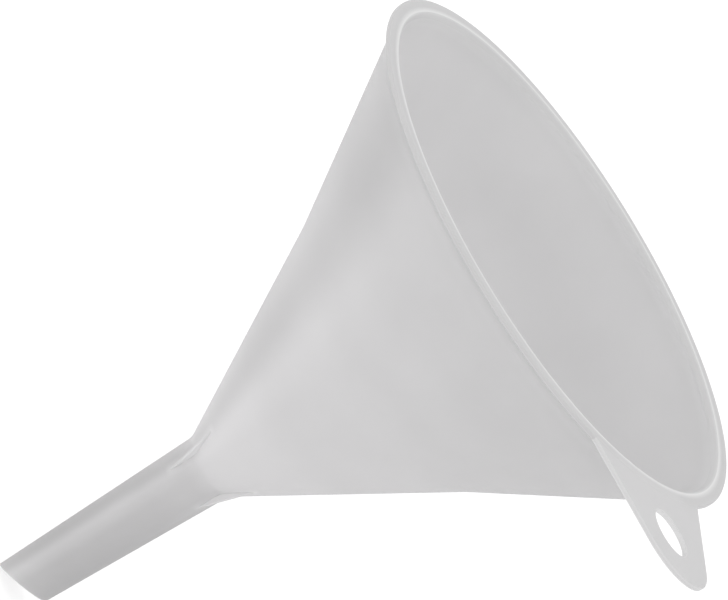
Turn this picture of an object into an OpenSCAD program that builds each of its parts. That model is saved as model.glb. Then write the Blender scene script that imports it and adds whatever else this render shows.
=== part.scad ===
// Plain conical funnel with a hanging tab, moulded in natural polypropylene.
// +Z points out of the mouth, +X points at the tab, and the origin is on the
// axis where the outside of the bowl meets the stem.

/* [Bowl] */
// Outside diameter of the rim
rim_d = 150; // [143:1:200]
// Height of the rim face above the stem
bowl_h = 110.6; // [104:0.2:130]
// Thickness of the bowl's wall
bowl_wall = 2.5; // [1.2:0.1:2.8]
// Depth of the shoulder, where the bowl turns steeper, below the rim face
shoulder_depth = 52.6; // [40:0.2:55]
// Outside diameter of the bowl at the shoulder
shoulder_d = 81.4; // [76:0.2:84]

/* [Rim] */
// Thickness of the rim flange and of the tab
rim_t = 1.4; // [1.2:0.1:3]
// How far the rim stands out past the outside of the bowl
rim_overhang = 2.1; // [1.5:0.1:4]
// Chamfer on the rim's outer edges
rim_chamfer = 0.4; // [0.2:0.1:0.5]

/* [Stem] */
// Outside diameter of the stem where it leaves the bowl
stem_top_d = 18.3; // [16:0.1:20]
// Outside diameter of the stem at its outlet
stem_tip_d = 14.7; // [12:0.1:16]
// Length of the stem along the axis
stem_l = 61.5; // [40:0.5:90]
// Thickness of the stem's wall
stem_wall = 1.5; // [1:0.1:1.8]
// Angle of the slanted outlet from square, with the long side away from the tab
tip_bevel = 24; // [0:1:40]

/* [Vent ribs] */
// Thickness of each rib
rib_t = 1; // [0.6:0.1:2]
// How far each rib reaches up the bowl
rib_up = 9; // [5:0.5:15]
// How far each rib reaches down the stem
rib_down = 7.6; // [4:0.2:15]

/* [Hanging tab] */
// Diameter of the hanging hole
hole_d = 13.4; // [8:0.1:18]
// Distance from the rim's edge to the middle of the hole
hole_offset = 13.6; // [11:0.1:20]
// Diameter of the tab's round end
tab_end_d = 32; // [24:0.5:34]
// Half of the angle that the tab's root takes up on the rim
tab_root_angle = 21; // [17:0.2:26]

/* [Hidden] */
$fn = 144;

natural_pp = [0.86, 0.86, 0.85];
cut = 5;            // how far a cutting shape runs past what it cuts
tab_end_steps = 40; // straight steps in the tab's round end

rim_r = rim_d / 2;
rim_under_z = bowl_h - rim_t;
bowl_top_r = rim_r - rim_overhang;
shoulder_z = bowl_h - shoulder_depth;
shoulder_r = shoulder_d / 2;
stem_top_r = stem_top_d / 2;
stem_tip_r = stem_tip_d / 2;

// Slopes of the outside: growth in radius for each millimetre of height
upper_slope = (bowl_top_r - shoulder_r) / (rim_under_z - shoulder_z);
lower_slope = (shoulder_r - stem_top_r) / shoulder_z;
stem_slope = (stem_top_r - stem_tip_r) / stem_l;

// The inside follows the outside, one wall thickness in, measured square to it
upper_inset = bowl_wall * sqrt(1 + upper_slope * upper_slope);
lower_inset = bowl_wall * sqrt(1 + lower_slope * lower_slope);
stem_bore_r = stem_top_r - stem_wall;
// Height at which the two inside cones of the bowl meet
inner_shoulder_z = shoulder_z + (upper_inset - lower_inset) / (upper_slope - lower_slope);
// Height at which the bowl's inside meets the stem's bore
inner_throat_z = (stem_bore_r - stem_top_r + lower_inset) / (lower_slope - stem_slope);

function upper_inner_r(z) = shoulder_r + (z - shoulder_z) * upper_slope - upper_inset;
function lower_inner_r(z) = stem_top_r + z * lower_slope - lower_inset;
function stem_outer_r(z) = stem_top_r + z * stem_slope;
function stem_inner_r(z) = stem_bore_r + z * stem_slope;

stem_end_z = -stem_l - stem_tip_r * tan(tip_bevel) - cut;
hole_x = rim_r + hole_offset;
tab_end_r = tab_end_d / 2;

// Outside of the bowl and stem as one solid, which the ribs are fitted to
module outer_form() {
    rotate_extrude()
        polygon([
            [0, stem_end_z],
            [stem_outer_r(stem_end_z), stem_end_z],
            [stem_top_r, 0],
            [shoulder_r, shoulder_z],
            [bowl_top_r, rim_under_z],
            [0, rim_under_z]
        ]);
}

// Inside of the bowl and stem as one solid, open past both ends
module inner_form() {
    rotate_extrude()
        polygon([
            [0, stem_end_z - cut],
            [stem_inner_r(stem_end_z - cut), stem_end_z - cut],
            [stem_inner_r(inner_throat_z), inner_throat_z],
            [lower_inner_r(inner_shoulder_z), inner_shoulder_z],
            [upper_inner_r(bowl_h + cut), bowl_h + cut],
            [0, bowl_h + cut]
        ]);
}

// Solid disc of the rim, with its outer edges chamfered
module rim_disc() {
    rotate_extrude()
        polygon([
            [0, rim_under_z],
            [rim_r - rim_chamfer, rim_under_z],
            [rim_r, rim_under_z + rim_chamfer],
            [rim_r, bowl_h - rim_chamfer],
            [rim_r - rim_chamfer, bowl_h],
            [0, bowl_h]
        ]);
}

// Flat flange that stiffens the mouth
module rim_flange() {
    color(natural_pp)
        difference() {
            rim_disc();
            inner_form();
        }
}

// Bowl wall: a wide upper cone and a steeper lower one
module bowl_cone() {
    color(natural_pp)
        difference() {
            intersection() {
                outer_form();
                cylinder(h = rim_under_z, r = rim_r);
            }
            inner_form();
        }
}

// Tapered stem with a slanted outlet
module stem_tube() {
    color(natural_pp)
        difference() {
            outer_form();
            inner_form();
            cylinder(h = bowl_h, r = rim_r);
            translate([0, 0, -stem_l])
                rotate([0, -tip_bevel, 0])
                    translate([-rim_r, -rim_r, -rim_r])
                        cube([rim_d, rim_d, rim_r]);
        }
}

// Triangular web in the corner between bowl and stem, which keeps a gap for
// air between the funnel and the neck of a bottle
module vent_rib(turn) {
    rib_top_r = stem_top_r + rib_up * lower_slope;
    rib_bottom_r = stem_outer_r(-rib_down);
    color(natural_pp)
        difference() {
            rotate([0, 0, turn])
                rotate([90, 0, 0])
                    linear_extrude(height = rib_t, center = true)
                        polygon([
                            [stem_bore_r, -rib_down],
                            [rib_bottom_r, -rib_down],
                            [rib_top_r, rib_up],
                            [stem_bore_r, rib_up]
                        ]);
            outer_form();
        }
}

// Plan of the tab: straight sides from the rim, tangent to a round end
module tab_outline() {
    root = rim_r * [cos(tab_root_angle), sin(tab_root_angle)];
    reach = [hole_x, 0] - root;
    edge_angle = atan2(reach[1], reach[0]) + asin(tab_end_r / norm(reach));
    arc_start = edge_angle + 90;
    round_end = [
        for (i = [0 : tab_end_steps])
            let (a = arc_start * (1 - 2 * i / tab_end_steps))
            [hole_x + tab_end_r * cos(a), tab_end_r * sin(a)]
    ];
    polygon(concat([root], round_end, [[root[0], -root[1]]]));
}

// Flat tab with the hole it hangs by
module hanging_tab() {
    color(natural_pp)
        difference() {
            translate([0, 0, rim_under_z])
                linear_extrude(height = rim_t)
                    tab_outline();
            rim_disc();
            translate([hole_x, 0, rim_under_z - cut])
                cylinder(h = rim_t + 2 * cut, d = hole_d);
        }
}

rim_flange();
bowl_cone();
stem_tube();
vent_rib(0);  // vent_rib_1
vent_rib(90);  // vent_rib_2
vent_rib(180);  // vent_rib_3
vent_rib(270);  // vent_rib_4
hanging_tab();
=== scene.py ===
"""Looks for the conical funnel with a hanging tab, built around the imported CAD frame.

Every CAD node is stood for by one refined piece of the same size and place, with the moulded
roundings that the plain solids leave out. Lengths are in metres, in the frame's own axes:
+Z out of the mouth, +X at the tab, origin where the bowl meets the stem.
"""

import math

import bmesh
import bpy
from mathutils import Matrix, Vector


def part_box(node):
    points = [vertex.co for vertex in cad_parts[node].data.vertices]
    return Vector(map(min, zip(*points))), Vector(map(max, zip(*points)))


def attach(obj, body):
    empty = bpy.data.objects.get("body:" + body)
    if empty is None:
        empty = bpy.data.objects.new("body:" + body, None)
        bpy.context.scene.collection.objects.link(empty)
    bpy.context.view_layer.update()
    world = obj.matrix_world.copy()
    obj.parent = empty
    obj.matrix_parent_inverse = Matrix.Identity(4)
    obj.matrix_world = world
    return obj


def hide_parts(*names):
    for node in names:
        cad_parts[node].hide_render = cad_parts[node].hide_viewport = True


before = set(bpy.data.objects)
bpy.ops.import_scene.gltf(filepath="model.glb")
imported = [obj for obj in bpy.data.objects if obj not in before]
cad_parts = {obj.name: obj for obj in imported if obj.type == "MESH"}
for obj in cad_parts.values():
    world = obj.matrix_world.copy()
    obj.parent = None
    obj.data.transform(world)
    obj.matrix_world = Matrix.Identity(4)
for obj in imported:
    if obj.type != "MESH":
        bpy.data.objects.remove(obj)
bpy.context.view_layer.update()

MM = 0.001

# ---------------------------------------------------------------- sizes, from the frame
rim_low, rim_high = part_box("rim_flange")
_, bowl_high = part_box("bowl_cone")
stem_low, stem_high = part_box("stem_tube")
rib_low, rib_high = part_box("vent_rib_1")
_, tab_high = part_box("hanging_tab")

RIM_R = rim_high.y
RIM_TOP_Z = rim_high.z
RIM_UNDER_Z = rim_low.z
BOWL_TOP_R = bowl_high.y
STEM_TOP_R = stem_high.y
TAB_TIP_X = tab_high.x
FLOOR_Z = stem_low.z

# Sizes that no box gives
SHOULDER_Z = RIM_TOP_Z - 52.6 * MM
SHOULDER_R = 40.7 * MM
STEM_TIP_R = 7.35 * MM
STEM_L = 61.5 * MM
TIP_BEVEL = math.radians(24)
BOWL_WALL = 2.5 * MM
STEM_WALL = 1.5 * MM
TAB_END_R = 16 * MM
HOLE_R = 6.7 * MM
TAB_ROOT_ANGLE = math.radians(21)

# Roundings of the moulding
EDGE_R = 0.4 * MM           # outer edges of the rim and the tab
HOLE_EDGE_R = 0.15 * MM     # edges of the hanging hole
LIP_R = 0.8 * MM            # inner edge of the mouth
UNDER_RIM_R = 0.8 * MM      # corner between the rim's underside and the bowl
SHOULDER_BEND_R = 60 * MM   # soft bend where the bowl turns steeper
THROAT_R = 6 * MM           # corner between bowl and stem, outside
INNER_THROAT_R = 3 * MM     # the same corner inside
FOOT_R = 0.4 * MM           # edges of the stem's outlet

# Vent ribs: thinner at the free edge than in the corner
RIB_FREE_HALF = 0.36 * MM   # half of the thickness at the free edge
RIB_ROOT_HALF = 0.62 * MM   # and at the root
RIB_NOSE = 0.6              # depth of the rounded free edge, as a share of its half thickness
RIB_DRAFT_L = 0.2 * MM      # just behind the free edge, over this much
RIB_DRAFT = 0.02 * MM       # each side thickens by this much
RIB_IN_STEM = 0.3 * MM      # the root's distance from the bore, beside the stem
RIB_IN_BOWL = 0.8 * MM      # the root's depth in the wall, beside the bowl

# Steps of the meshes
TURNS = 256                 # round the axis
ARC_STEPS = 8               # in each rounding of a turned piece
SUPPORT = 0.25 * MM         # a loop this far from each rounding keeps the flats flat
SHARP_ANGLE = math.radians(35)
LIP_GLOW_STEPS = 6          # across the stretch of the rim's flat that fades
UNDER_RIM_STEPS = 5         # down the stretch of the wall that fades
TAB_SIDE_STEPS = 6          # along each straight side of the tab
TAB_END_STEPS = 80          # round its end
TAB_ROOT_STEPS = 24         # along its inner wall
TAB_ARC_STEPS = 4           # in its rounded edges
HOLE_STEPS = 96
RIB_STEPS = 12              # along a rib
RIB_NOSE_STEPS = 6          # round its free edge

# How much lighter than their tint some stretches are, as edge shares: painted highlights on the
# roundings, and painted light that lifts the shade in corners, under the rim and inside. A share of
# 1 is EDGE_MIX of the way to EDGE_WHITE.
EDGE_MIX = 0.75
EDGE_WHITE = (0.97, 0.97, 0.97, 1)
LIP_SHARE = 1.33            # painted highlight on the inner edge of the mouth
LIP_GLOW_OUT = 2.8 * MM     # the lip's painted highlight fades over this much of the flat
LIP_GLOW_IN = 0.45 * MM     # and over this much of the inside, measured in radius
MOUTH_SHARE = 0.58          # painted light on the rim's inner face, below the lip
FLAT_SHARE = 0.3            # painted light on the rim's flat, fading round its outer edge
ROOT_SHARE = 0.44           # painted light on the rim where the tab grows out of it
ROOT_FADE = math.radians(9)     # it fades over this much inside each end of the tab's root
TAB_EDGE_SHARE = 0.3        # painted highlight on the tab's edges
HOLE_SHARE = 0.35           # painted light on the wall of the hanging hole
FOOT_SHARE = 0.8            # painted highlight on the edges of the stem's outlet
RIB_NOSE_SHARE = 0.4        # painted highlight on the free edge of a vent rib
RIB_SIDE_SHARE = 0.2        # painted light on its sides behind the free edge
RIB_ROOT_SHARE = 0.9        # and on its sides in the corner with the wall, over the shade there
CREASE_SHARE = 0.6          # painted light over the shade on the wall beside a rib
CREASE_GLOW = 2.4 * MM      # it fades over this much away from the rib
RIB_FADE = 1.5 * MM         # and over this much past its ends
UNDER_RIM_SHARE = 1.33      # painted light over the shade under the rim, on the outside of the bowl
MOUTH_RING_SHARE = 0.75     # and on the inside at the same height
UNDER_RIM_GLOW = 5.5 * MM   # both fade over this much below the rim
INSIDE_SHARE = 0.25         # painted light on the inside of the bowl and the stem

upper_slope = (BOWL_TOP_R - SHOULDER_R) / (RIM_UNDER_Z - SHOULDER_Z)
lower_slope = (SHOULDER_R - STEM_TOP_R) / SHOULDER_Z
stem_slope = (STEM_TOP_R - STEM_TIP_R) / STEM_L
upper_inset = BOWL_WALL * math.hypot(1, upper_slope)
lower_inset = BOWL_WALL * math.hypot(1, lower_slope)
stem_bore_r = STEM_TOP_R - STEM_WALL
inner_shoulder_z = SHOULDER_Z + (upper_inset - lower_inset) / (upper_slope - lower_slope)
inner_throat_z = (lower_inset - STEM_WALL) / (lower_slope - stem_slope)


def upper_outer_r(z):
    return SHOULDER_R + (z - SHOULDER_Z) * upper_slope


def upper_inner_r(z):
    return upper_outer_r(z) - upper_inset


def lower_outer_r(z):
    return STEM_TOP_R + z * lower_slope


def stem_outer_r(z):
    return STEM_TOP_R + z * stem_slope


def stem_inner_r(z):
    return stem_bore_r + z * stem_slope


# ---------------------------------------------------------------- mesh helpers
def heading(angle):
    """The level direction at an angle from +X."""
    return Vector((math.cos(angle), math.sin(angle)))


def rounded(corners):
    """A path through corners (r, z, rounding, edge), as points (r, z, edge): an arc at each corner
    with support points beside it. The edge share, painted highlight on the rounding, peaks in the
    middle of the arc and is 0 elsewhere. The first and last corner are only (r, z), and are kept as
    they are."""
    path = [Vector((*corners[0][:2], 0))]
    for before, here, after in zip(corners, corners[1:], corners[2:]):
        corner = Vector(here[:2])
        radius, edge = here[2:]
        back = (Vector(before[:2]) - corner).normalized()
        ahead = (Vector(after[:2]) - corner).normalized()
        turn = math.pi - back.angle(ahead)
        reach = radius * math.tan(turn / 2)
        start = corner + back * reach
        end = corner + ahead * reach
        centre = corner + (back + ahead).normalized() * (radius / math.cos(turn / 2))
        path.append(Vector((*(start + back * SUPPORT), 0)))
        for i in range(ARC_STEPS + 1):
            # The chord point, pushed out to the arc
            point = start.lerp(end, i / ARC_STEPS)
            on_arc = centre + (point - centre).normalized() * radius
            path.append(Vector((*on_arc, edge * math.sin(math.pi * i / ARC_STEPS))))
        path.append(Vector((*(end + ahead * SUPPORT), 0)))
    path.append(Vector((*corners[-1][:2], 0)))
    return path


def mesh_object(name, bm):
    """A smooth-shaded object from a bmesh, sharp only where faces meet at more than SHARP_ANGLE."""
    bmesh.ops.recalc_face_normals(bm, faces=bm.faces)
    mesh = bpy.data.meshes.new(name)
    bm.to_mesh(mesh)
    bm.free()
    mesh.shade_smooth()
    mesh.set_sharp_from_angle(angle=SHARP_ANGLE)
    obj = bpy.data.objects.new(name, mesh)
    bpy.context.scene.collection.objects.link(obj)
    return obj


def lathe(name, section, reshape=None, glow=None):
    """Turns a closed section of (r, z, edge) points about Z. reshape(r, z, turn) may move each
    point, and glow(r, z, turn) may raise its edge share, which is painted light."""
    bm = bmesh.new()
    edge_share = bm.verts.layers.float.new("edge")
    rings = []
    for k in range(TURNS):
        turn = 2 * math.pi * k / TURNS
        ring = []
        for point in section:
            r, z = reshape(point.x, point.y, turn) if reshape else point.xy
            vert = bm.verts.new((r * math.cos(turn), r * math.sin(turn), z))
            vert[edge_share] = max(point.z, glow(r, z, turn)) if glow else point.z
            ring.append(vert)
        rings.append(ring)
    count = len(section)
    for k in range(TURNS):
        here, after = rings[k], rings[(k + 1) % TURNS]
        for i in range(count):
            j = (i + 1) % count
            bm.faces.new((here[i], here[j], after[j], after[i]))
    return mesh_object(name, bm)


# ---------------------------------------------------------------- bowl, stem and rim
def split_outline(path, z):
    """The parts of an outline above and below height z, each ending exactly at it. The path falls
    all the way."""
    above = [p for p in path if p.y > z]
    below = [p for p in path if p.y < z]
    a, b = above[-1], below[0]
    meet = a.lerp(b, (a.y - z) / (a.y - b.y))
    return above + [meet], [meet.copy()] + below


def with_heights(path, heights):
    """The path with a point added at each height."""
    for z in heights:
        above, below = split_outline(path, z)
        path = above + below[1:]
    return path


def lit_under_rim(path, share):
    """The path with its edge share rising to the one given over the last stretch below the rim:
    painted light over the shade under the rim.
    """
    steps = range(1, UNDER_RIM_STEPS + 1)
    path = with_heights(path, [RIM_UNDER_Z - UNDER_RIM_GLOW * i / UNDER_RIM_STEPS for i in steps])
    for point in path:
        depth = min(1, (RIM_UNDER_Z - point.y) / UNDER_RIM_GLOW)
        point.z = max(point.z, share * (1 - depth) ** 2)
    return path


def crease_painted_light(r, z, turn):
    """How much lighter the outside is beside a vent rib, where wall and rib meet in a corner: painted
    light over the shade in that corner.
    """
    quarter = math.pi / 2
    off_rib = r * abs(math.sin((turn + quarter / 2) % quarter - quarter / 2))
    beside = max(0, 1 - off_rib / CREASE_GLOW)
    past_end = max(z - rib_high.z, rib_low.z - z, 0)
    return CREASE_SHARE * beside * max(0, 1 - past_end / RIB_FADE)


def wall_outlines():
    """Outside and inside of bowl and stem, from the rim's underside down, as (r, z, edge) paths."""
    foot = -STEM_L
    ledge_r = BOWL_TOP_R + UNDER_RIM_R * 1.2    # a little past the rounding under the rim
    outside = rounded([
        (ledge_r, RIM_UNDER_Z),
        (BOWL_TOP_R, RIM_UNDER_Z, UNDER_RIM_R, 0),
        (SHOULDER_R, SHOULDER_Z, SHOULDER_BEND_R, 0),
        (STEM_TOP_R, 0, THROAT_R, 0),
        (stem_outer_r(foot), foot),
    ])
    inside = rounded([
        (upper_inner_r(RIM_UNDER_Z), RIM_UNDER_Z),
        (upper_inner_r(inner_shoulder_z), inner_shoulder_z, SHOULDER_BEND_R, 0),
        (stem_inner_r(inner_throat_z), inner_throat_z, INNER_THROAT_R, 0),
        (stem_inner_r(foot), foot),
    ])
    outside = with_heights(outside, [
        rib_low.z - RIB_FADE, rib_low.z, rib_low.z / 2,
        rib_high.z / 2, rib_high.z, rib_high.z + RIB_FADE,
    ])
    # Painted light over the whole inside
    for point in inside:
        point.z = INSIDE_SHARE
    return lit_under_rim(outside, UNDER_RIM_SHARE), lit_under_rim(inside, MOUTH_RING_SHARE)


def make_bowl(outside, inside):
    outer, _ = split_outline(outside[1:], 0)
    inner, _ = split_outline(inside, 0)
    return lathe("bowl_moulding", [outside[0]] + outer + inner[::-1], glow=crease_painted_light)


def make_stem(outside, inside):
    """The stem's foot is slanted by sliding its points along the tapered walls."""
    _, outer = split_outline(outside[1:], 0)
    _, inner = split_outline(inside, 0)
    foot = -STEM_L
    middle = foot / 2
    end = rounded([
        (stem_outer_r(middle), middle),
        (stem_outer_r(foot), foot, FOOT_R, FOOT_SHARE),
        (stem_inner_r(foot), foot, FOOT_R, FOOT_SHARE),
        (stem_inner_r(middle), middle),
    ])
    full_slant_z = 0.9 * foot       # the slide grows down to here

    def slant(r, z, turn):
        share = min(1, max(0, z / full_slant_z))
        share = share * share * (3 - 2 * share)
        rise = STEM_TIP_R * math.cos(turn) * math.tan(TIP_BEVEL) * (r / stem_outer_r(foot))
        slide = share * rise
        return r + slide * stem_slope, z + slide

    return lathe("stem_moulding", outer[:-1] + end + inner[-2::-1], slant, crease_painted_light)


def light_rim(outline, lip_edge_r):
    """Sets the edge shares of the rim's section, as painted highlight and painted light: highest at
    the lip, fading across the flat and round the outer edge."""
    for point in outline:
        off_lip = point.x - lip_edge_r
        if off_lip <= 0:
            point.z = max(MOUTH_SHARE, LIP_SHARE * (1 + off_lip / LIP_GLOW_IN))
        elif point.y > RIM_TOP_Z - EDGE_R:
            flat = FLAT_SHARE * (1 - (RIM_TOP_Z - point.y) / EDGE_R)
            point.z = max(flat, LIP_SHARE * max(0, 1 - off_lip / LIP_GLOW_OUT) ** 2)


def make_rim():
    """Flat flange whose inner face carries on the inside of the bowl. Its outer edge is left square
    inside the tab's root, so that the two flats run into one another."""
    inner_low = upper_inner_r(RIM_UNDER_Z)
    inner_high = upper_inner_r(RIM_TOP_Z)
    outline = rounded([
        (inner_low, RIM_UNDER_Z),
        (RIM_R, RIM_UNDER_Z, EDGE_R, 0),
        (RIM_R, RIM_TOP_Z, EDGE_R, 0),
        (inner_high, RIM_TOP_Z, LIP_R, 0),
        (inner_low, RIM_UNDER_Z),
    ])

    # More points on the flat, where the lip's painted highlight fades
    lip_edge_r = inner_high + LIP_R * math.tan(math.atan(1 / upper_slope) / 2)
    fade_r = lip_edge_r + LIP_GLOW_OUT
    fade_start = 1 + max(i for i, point in enumerate(outline) if point.x > fade_r)
    outline[fade_start:fade_start] = [
        Vector((fade_r - LIP_GLOW_OUT * i / LIP_GLOW_STEPS, RIM_TOP_Z, 0)) for i in range(LIP_GLOW_STEPS)]
    light_rim(outline, lip_edge_r)

    # The square stretch ends one and a half steps of the turning inside the tab's root
    square_half = TAB_ROOT_ANGLE - 1.5 * 2 * math.pi / TURNS

    def open_to_tab(r, z, turn):
        off_tab = min(turn, 2 * math.pi - turn)
        return (min(r, RIM_R - EDGE_R) if off_tab < square_half else r), z

    # Painted light on the rim where the tab grows out of it
    def tab_root_painted_light(r, z, turn):
        off_tab = min(turn, 2 * math.pi - turn)
        return ROOT_SHARE * min(1, max(0, (TAB_ROOT_ANGLE - off_tab) / ROOT_FADE))

    return lathe("rim_moulding", outline[:-1], open_to_tab, tab_root_painted_light)


# ---------------------------------------------------------------- hanging tab
TAB_HAIR = 0.004 * MM       # keeps the tab's faces from lying in the rim's faces
TAB_IN_RIM = 0.1 * MM       # how far its sides run on inside the rim's square edge
TAB_WALL_GAP = 0.05 * MM    # how far its inner wall lies inside that edge


def tab_stations(hole_x):
    """Points along the tab's free edge with their outward directions, from root to root."""
    root = RIM_R * heading(TAB_ROOT_ANGLE)
    reach = Vector((hole_x, 0)) - root
    side_angle = math.atan2(reach.y, reach.x) + math.asin(TAB_END_R / reach.length)
    along = heading(side_angle)
    outward = Vector((-along.y, along.x))
    # How far each side carries on inward, until it is inside the rim
    buried = (EDGE_R + TAB_IN_RIM) / math.cos(TAB_ROOT_ANGLE - side_angle)
    half_arc = side_angle + math.pi / 2
    straight = (Vector((hole_x, 0)) + TAB_END_R * outward) - root
    side = [(root - along * buried, outward)]
    side += [(root + straight * (i / TAB_SIDE_STEPS), outward) for i in range(TAB_SIDE_STEPS)]
    arc = []
    for i in range(TAB_END_STEPS + 1):
        direction = heading(half_arc * (1 - 2 * i / TAB_END_STEPS))
        arc.append((Vector((hole_x, 0)) + TAB_END_R * direction, direction))
    mirrored = [(Vector((p.x, -p.y)), Vector((n.x, -n.y))) for p, n in side[::-1]]
    return side + arc + mirrored


def hole_stations(hole_x):
    """Points round the hanging hole with their directions out of the plastic."""
    directions = [heading(2 * math.pi * i / HOLE_STEPS) for i in range(HOLE_STEPS)]
    return [(Vector((hole_x, 0)) + HOLE_R * direction, -direction) for direction in directions]


def side_profile(radius, half, wall_share):
    """A side wall of the tab with two rounded edges, as (distance in from the edge, height above
    the middle, edge share)."""
    profile = [(radius + SUPPORT, half, 0)]
    for centre_z, first in ((half - radius, math.pi / 2), (radius - half, 0)):
        for i in range(TAB_ARC_STEPS + 1):
            along = i / TAB_ARC_STEPS
            a = first - along * math.pi / 2
            # Painted highlight on the rounded edges, and painted light on the wall between them
            edge = max(wall_share, TAB_EDGE_SHARE * math.sin(math.pi * along))
            profile.append((radius * (1 - math.cos(a)), centre_z + radius * math.sin(a), edge))
    return profile + [(radius + SUPPORT, -half, 0)]


def sweep(bm, stations, profile, closed):
    """Sweeps a side profile along the stations and gives its rows of vertices."""
    middle_z = (RIM_TOP_Z + RIM_UNDER_Z) / 2
    edge_share = bm.verts.layers.float["edge"]
    rows = []
    for point, outward in stations:
        row = []
        for inset, z, edge in profile:
            x, y = point - outward * inset
            vert = bm.verts.new((x, y, middle_z + z))
            vert[edge_share] = edge
            row.append(vert)
        rows.append(row)
    pairs = list(zip(rows, rows[1:])) + ([(rows[-1], rows[0])] if closed else [])
    for a, b in pairs:
        for j in range(len(profile) - 1):
            bm.faces.new((a[j], a[j + 1], b[j + 1], b[j]))
    return rows


def make_tab():
    """Flat tab with rounded edges and a hole. Its sides end inside the rim, flush with the rim's
    faces."""
    hole_x = TAB_TIP_X - TAB_END_R
    half = (RIM_TOP_Z - RIM_UNDER_Z) / 2 - TAB_HAIR
    bm = bmesh.new()
    bm.verts.layers.float.new("edge")
    rows = sweep(bm, tab_stations(hole_x), side_profile(EDGE_R, half, 0), False)
    hole_rows = sweep(bm, hole_stations(hole_x), side_profile(HOLE_EDGE_R, half, HOLE_SHARE), True)
    top = [row[0] for row in rows]
    bottom = [row[-1] for row in rows]

    # Inner wall, along the rim's square edge
    inner_r = RIM_R - EDGE_R - TAB_WALL_GAP
    end_angle = math.atan2(top[0].co.y, top[0].co.x)
    for loop in (top, bottom):
        z = loop[0].co.z
        for i in range(1, TAB_ROOT_STEPS):
            x, y = inner_r * heading(end_angle * (2 * i / TAB_ROOT_STEPS - 1))
            loop.append(bm.verts.new((x, y, z)))
    last = len(rows) - 1
    for i in range(last, len(top)):
        j = (i + 1) % len(top)
        bm.faces.new((top[i], top[j], bottom[j], bottom[i]))
    bm.faces.new(rows[0])
    bm.faces.new(rows[last])

    # Flat faces, each between the outline and the hole
    for outline, end in ((top, 0), (bottom, -1)):
        edges = []
        for loop in (outline, [row[end] for row in hole_rows]):
            for a, b in zip(loop, loop[1:] + loop[:1]):
                edges.append(bm.edges.get((a, b)) or bm.edges.new((a, b)))
        bmesh.ops.triangle_fill(bm, edges=edges, use_beauty=True)
    return mesh_object("tab_moulding", bm)


# ---------------------------------------------------------------- vent ribs
def rib_section(free_r, wall_r):
    """A rib's section at one height, as (x, y, edge share): root, side, rounded free edge, side,
    root."""
    nose = RIB_FREE_HALF * RIB_NOSE
    nose_x = free_r - nose
    # The shares are painted light: a highlight on the free edge, and light over the shade where the rib
    # meets the wall
    side = [
        (wall_r, RIB_ROOT_HALF, RIB_ROOT_SHARE),
        (nose_x - RIB_DRAFT_L, RIB_FREE_HALF + RIB_DRAFT, RIB_SIDE_SHARE),
    ]
    ring = [(x, -y, edge) for x, y, edge in side]
    for i in range(RIB_NOSE_STEPS + 1):
        a = math.pi * (i / RIB_NOSE_STEPS - 0.5)
        ring.append((nose_x + nose * math.cos(a), RIB_FREE_HALF * math.sin(a), RIB_NOSE_SHARE))
    return ring + side[::-1]


def make_rib(number, turn):
    """Thin web across the corner between bowl and stem."""
    top = Vector((lower_outer_r(rib_high.z), rib_high.z))
    foot = Vector((stem_outer_r(rib_low.z), rib_low.z))
    bm = bmesh.new()
    edge_share = bm.verts.layers.float.new("edge")
    rows = []
    for i in range(RIB_STEPS + 1):
        free_r, z = foot.lerp(top, i / RIB_STEPS)
        wall_r = stem_bore_r + RIB_IN_STEM if z <= 0 else lower_outer_r(z) - RIB_IN_BOWL
        row = []
        for x, y, edge in rib_section(free_r, wall_r):
            vert = bm.verts.new((x, y, z))
            vert[edge_share] = edge
            row.append(vert)
        rows.append(row)
    for low, high in zip(rows, rows[1:]):
        for j in range(len(low)):
            k = (j + 1) % len(low)
            bm.faces.new((low[j], low[k], high[k], high[j]))
    bm.faces.new(rows[0])
    bm.faces.new(rows[-1])
    bmesh.ops.rotate(bm, verts=bm.verts, matrix=Matrix.Rotation(turn, 3, "Z"))
    return mesh_object(f"rib_moulding_{number}", bm)


# ---------------------------------------------------------------- materials
# How light the wall is, as shares of its tint: along the axis by height in mm, and round it by
# angle in degrees. These shares are painted light and shade, set for the look of the plastic in soft
# studio light: painted light on the bowl at the throat, painted shade on the stem and towards the
# mouth, and a painted highlight band down the wall at about -80 degrees with painted shade beside
# it. They aren't known properties of the moulding.
AXIAL_TINT = [
    (-65, 0.9), (-20, 0.935), (-5, 0.98), (1, 1.08), (20, 1.06),
    (35, 1.02), (52, 1.02), (70, 0.975), (90, 0.945), (110, 0.95),
]
# Painted light and shade round the axis, with the painted highlight band at about -80 degrees
PAINTED_BAND_TINT = [
    (-180, 1), (-122, 1.02), (-98, 0.94), (-79, 1.035), (-59, 0.995),
    (10, 0.97), (45, 1), (90, 0.985), (165, 1.015), (180, 1),
]
# A stronger painted highlight band down the stem
STEM_PAINTED_BAND_TINT = [(-180, 1), (-115, 1), (-88, 1.15), (-70, 1.1), (-50, 1.03), (0, 1), (180, 1)]
STEM_PAINTED_BAND_DEPTH = 25 * MM         # the stem's painted highlight band reaches full strength this far below the throat
TINT_LOW, TINT_HIGH = 0.8, 1.2      # the shares' limits

# Milky natural polypropylene
PP_IOR = 1.49
PP_SPECULAR = 0.4
CLOUD_SCALE, CLOUD_DETAIL = 28, 4   # faint clouds in the milkiness
CLOUD_EDGES = (0.3, 0.7)
CLOUD_SHARES = (0.975, 1.02)
WEAR_SCALE, WEAR_DETAIL = 60, 6     # uneven gloss
ROUGHNESS_LOW, ROUGHNESS_HIGH = 0.34, 0.5
GRAIN_SCALE, GRAIN_DETAIL = 1400, 2     # fine grain
GRAIN_STRENGTH = 0.15
GRAIN_DEPTH = 0.02 * MM


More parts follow.
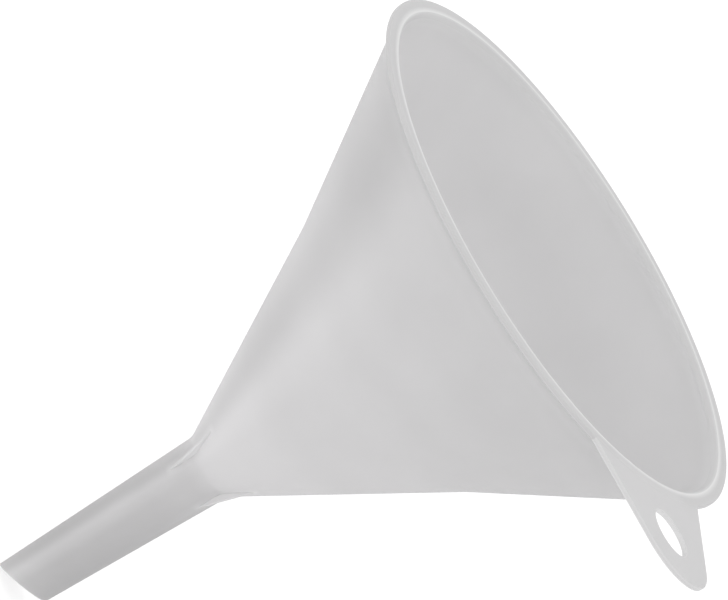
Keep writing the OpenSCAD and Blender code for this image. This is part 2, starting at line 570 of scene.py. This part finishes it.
def map_range(tree, value, source, target):
    """A value mapped from one (low, high) range to another."""
    node = tree.nodes.new("ShaderNodeMapRange")
    node.inputs["From Min"].default_value, node.inputs["From Max"].default_value = source
    node.inputs["To Min"].default_value, node.inputs["To Max"].default_value = target
    tree.links.new(value, node.inputs["Value"])
    return node.outputs["Result"]


def noise(tree, place, scale, detail):
    """A cloudy value from 0 to 1 over the surface."""
    node = tree.nodes.new("ShaderNodeTexNoise")
    node.inputs["Scale"].default_value = scale
    node.inputs["Detail"].default_value = detail
    tree.links.new(place, node.inputs["Vector"])
    return node.outputs["Fac"]


def graded(tree, value, marks, unit):
    """A share of the tint that follows a value, eased between (value in units, share) marks."""
    low, high = marks[0][0], marks[-1][0]
    ramp = tree.nodes.new("ShaderNodeValToRGB")
    ramp.color_ramp.interpolation = "EASE"
    stops = ramp.color_ramp.elements
    while len(stops) < len(marks):
        stops.new(0.5)
    for stop, (place, share) in zip(stops, marks):
        stop.position = (place - low) / (high - low)
        grey = (share - TINT_LOW) / (TINT_HIGH - TINT_LOW)
        stop.color = (grey, grey, grey, 1)
    tree.links.new(map_range(tree, value, (low * unit, high * unit), (0, 1)), ramp.inputs["Fac"])
    return map_range(tree, ramp.outputs["Color"], (0, 1), (TINT_LOW, TINT_HIGH))


def on_stem(tree, height, share):
    """The share below the throat, fading in from 1."""
    mix = tree.nodes.new("ShaderNodeMix")
    mix.inputs["A"].default_value = 1
    tree.links.new(map_range(tree, height, (0, -STEM_PAINTED_BAND_DEPTH), (0, 1)), mix.inputs["Factor"])
    tree.links.new(share, mix.inputs["B"])
    return mix.outputs["Result"]


def add_painted_bands(tree, place, colour):
    """The colour with painted light and shade, along the axis and round it."""
    split = tree.nodes.new("ShaderNodeSeparateXYZ")
    turn = tree.nodes.new("ShaderNodeMath")
    turn.operation = "ARCTAN2"
    tree.links.new(place, split.inputs["Vector"])
    tree.links.new(split.outputs["Y"], turn.inputs[0])
    tree.links.new(split.outputs["X"], turn.inputs[1])
    height, angle = split.outputs["Z"], turn.outputs["Value"]
    degree = math.radians(1)
    shares = [
        graded(tree, height, AXIAL_TINT, MM),
        graded(tree, angle, PAINTED_BAND_TINT, degree),
        on_stem(tree, height, graded(tree, angle, STEM_PAINTED_BAND_TINT, degree)),
    ]
    for share in shares:
        scaled = tree.nodes.new("ShaderNodeVectorMath")
        scaled.operation = "SCALE"
        tree.links.new(colour, scaled.inputs["Vector"])
        tree.links.new(share, scaled.inputs["Scale"])
        colour = scaled.outputs["Vector"]
    return colour


def clouded(tree, place, tint):
    """The tint, slightly uneven in faint clouds."""
    ramp = tree.nodes.new("ShaderNodeValToRGB")
    for stop, position, share in zip(ramp.color_ramp.elements, CLOUD_EDGES, CLOUD_SHARES):
        stop.position = position
        stop.color = (*[min(1, c * share) for c in tint], 1)
    tree.links.new(noise(tree, place, CLOUD_SCALE, CLOUD_DETAIL), ramp.inputs["Fac"])
    return ramp.outputs["Color"]


def add_painted_light(tree, colour):
    """The colour, lighter by the mesh's edge share: painted highlights and painted light over shade."""
    edge = tree.nodes.new("ShaderNodeAttribute")
    edge.attribute_name = "edge"
    share = tree.nodes.new("ShaderNodeMath")
    share.operation = "MULTIPLY"
    share.inputs[1].default_value = EDGE_MIX
    bright = tree.nodes.new("ShaderNodeMix")
    bright.data_type = "RGBA"
    bright.inputs["B"].default_value = EDGE_WHITE
    tree.links.new(edge.outputs["Fac"], share.inputs[0])
    tree.links.new(share.outputs["Value"], bright.inputs["Factor"])
    tree.links.new(colour, bright.inputs["A"])
    return bright.outputs["Result"]


def natural_pp(name, tint, through, painted_bands=False):
    """Milky natural polypropylene: a satin skin over a wall that lets part of the light through."""
    material = bpy.data.materials.new(name)
    material.use_nodes = True
    tree = material.node_tree
    place = tree.nodes.new("ShaderNodeTexCoord").outputs["Object"]
    skin = tree.nodes["Principled BSDF"]
    skin.inputs["IOR"].default_value = PP_IOR
    skin.inputs["Specular IOR Level"].default_value = PP_SPECULAR
    glow = tree.nodes.new("ShaderNodeBsdfTranslucent")
    both = tree.nodes.new("ShaderNodeMixShader")
    both.inputs["Fac"].default_value = through
    tree.links.new(skin.outputs["BSDF"], both.inputs[1])
    tree.links.new(glow.outputs["BSDF"], both.inputs[2])
    tree.links.new(both.outputs["Shader"], tree.nodes["Material Output"].inputs["Surface"])

    # The colour carries painted light from the edge shares, and on the wall painted bands of light and
    # shade
    colour = clouded(tree, place, tint)
    if painted_bands:
        colour = add_painted_bands(tree, place, colour)
    colour = add_painted_light(tree, colour)
    tree.links.new(colour, skin.inputs["Base Color"])
    tree.links.new(colour, glow.inputs["Color"])

    wear = noise(tree, place, WEAR_SCALE, WEAR_DETAIL)
    roughness = map_range(tree, wear, (0, 1), (ROUGHNESS_LOW, ROUGHNESS_HIGH))
    tree.links.new(roughness, skin.inputs["Roughness"])

    bump = tree.nodes.new("ShaderNodeBump")
    bump.inputs["Strength"].default_value = GRAIN_STRENGTH
    bump.inputs["Distance"].default_value = GRAIN_DEPTH
    tree.links.new(noise(tree, place, GRAIN_SCALE, GRAIN_DETAIL), bump.inputs["Height"])
    tree.links.new(bump.outputs["Normal"], skin.inputs["Normal"])
    return material


# ---------------------------------------------------------------- the part
def finish_piece(piece, node, material):
    """One refined piece stands for one CAD node and rides on the part's body."""
    piece.data.materials.append(material)
    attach(piece, "root")
    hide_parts(node)


# Each has a tint and the share of the surface that lets light through. The rim and the tab are the
# same plastic as the wall, with darker tints: painted shade.
wall_pp = natural_pp("wall_pp", (0.783, 0.778, 0.782), 0.56, painted_bands=True)
rim_pp = natural_pp("rim_pp", (0.652, 0.647, 0.651), 0.2)
tab_pp = natural_pp("tab_pp", (0.675, 0.67, 0.674), 0.12)
rib_pp = natural_pp("rib_pp", (0.79, 0.784, 0.789), 0.56)
outside, inside = wall_outlines()
finish_piece(make_bowl(outside, inside), "bowl_cone", wall_pp)
finish_piece(make_stem(outside, inside), "stem_tube", wall_pp)
finish_piece(make_rim(), "rim_flange", rim_pp)
finish_piece(make_tab(), "hanging_tab", tab_pp)
for number in (1, 2, 3, 4):
    rib = make_rib(number, math.radians(90) * (number - 1))
    finish_piece(rib, f"vent_rib_{number}", rib_pp)


# ---------------------------------------------------------------- stage, light and camera
FLOOR_HALF = 15             # half of the floor's width
FLOOR_COLOUR = (0.42, 0.42, 0.42, 1)
FLOOR_GLOW = 0.7
WHITE = (1, 1, 1, 1)
SKY = 1.0

# A low panel in front of the funnel, for soft light on the lower side of the bowl and the stem
LOW_FILL_PLACE = (-0.1, -1.3, -0.02)
LOW_FILL_TARGET = (0, 0, 0.02)
LOW_FILL_SIZE = 0.7
LOW_FILL_POWER = 1.2

# The camera looks down into the mouth from the tab's near side, turned on its own axis so that
# the funnel lies on its side in the picture.
VIEW_AZIMUTH = math.radians(-33.89)
VIEW_ELEVATION = math.radians(17.33)
VIEW_ROLL = math.radians(58.26)
CAMERA_DISTANCE = 1.875
AIM = Vector((-4.96 * MM, -21 * MM, 63.61 * MM))
FIELD_OF_VIEW = math.radians(5.666)


def make_floor():
    """A pale floor at the outlet's height, which glows so that it stays white under the funnel."""
    bm = bmesh.new()
    bmesh.ops.create_grid(bm, x_segments=1, y_segments=1, size=FLOOR_HALF)
    bmesh.ops.translate(bm, verts=bm.verts, vec=(0, 0, FLOOR_Z))
    floor = mesh_object("floor", bm)
    material = bpy.data.materials.new("pale_floor")
    material.use_nodes = True
    shader = material.node_tree.nodes["Principled BSDF"]
    shader.inputs["Base Color"].default_value = FLOOR_COLOUR
    shader.inputs["Roughness"].default_value = 0.9
    shader.inputs["Specular IOR Level"].default_value = 0
    shader.inputs["Emission Color"].default_value = WHITE
    shader.inputs["Emission Strength"].default_value = FLOOR_GLOW
    floor.data.materials.append(material)


def make_world():
    world = bpy.data.worlds.new("studio")
    bpy.context.scene.world = world
    world.use_nodes = True
    background = world.node_tree.nodes["Background"]
    background.inputs["Color"].default_value = WHITE
    background.inputs["Strength"].default_value = SKY


def add_softbox(name, place, target, size, power):
    """A square panel of soft light at place, facing target, that the camera never sees."""
    data = bpy.data.lights.new(name, "AREA")
    data.size = size
    data.energy = power
    lamp = bpy.data.objects.new(name, data)
    lamp.location = place
    lamp.rotation_euler = (Vector(target) - Vector(place)).to_track_quat("-Z", "Y").to_euler()
    lamp.visible_camera = False
    bpy.context.scene.collection.objects.link(lamp)


def make_camera():
    ahead = Vector((
        math.sin(VIEW_AZIMUTH) * math.cos(VIEW_ELEVATION),
        math.cos(VIEW_AZIMUTH) * math.cos(VIEW_ELEVATION),
        -math.sin(VIEW_ELEVATION),
    ))
    data = bpy.data.cameras.new("camera")
    data.sensor_fit = "HORIZONTAL"
    data.angle = FIELD_OF_VIEW
    camera = bpy.data.objects.new("camera", data)
    level = ahead.to_track_quat("-Z", "Y").to_matrix()
    turned = level @ Matrix.Rotation(VIEW_ROLL, 3, "Z")
    camera.matrix_world = Matrix.Translation(AIM - ahead * CAMERA_DISTANCE) @ turned.to_4x4()
    bpy.context.scene.collection.objects.link(camera)
    bpy.context.scene.camera = camera


make_floor()
make_world()
add_softbox("low_fill", LOW_FILL_PLACE, LOW_FILL_TARGET, LOW_FILL_SIZE, LOW_FILL_POWER)
make_camera()
bpy.context.scene.view_settings.view_transform = "Standard"
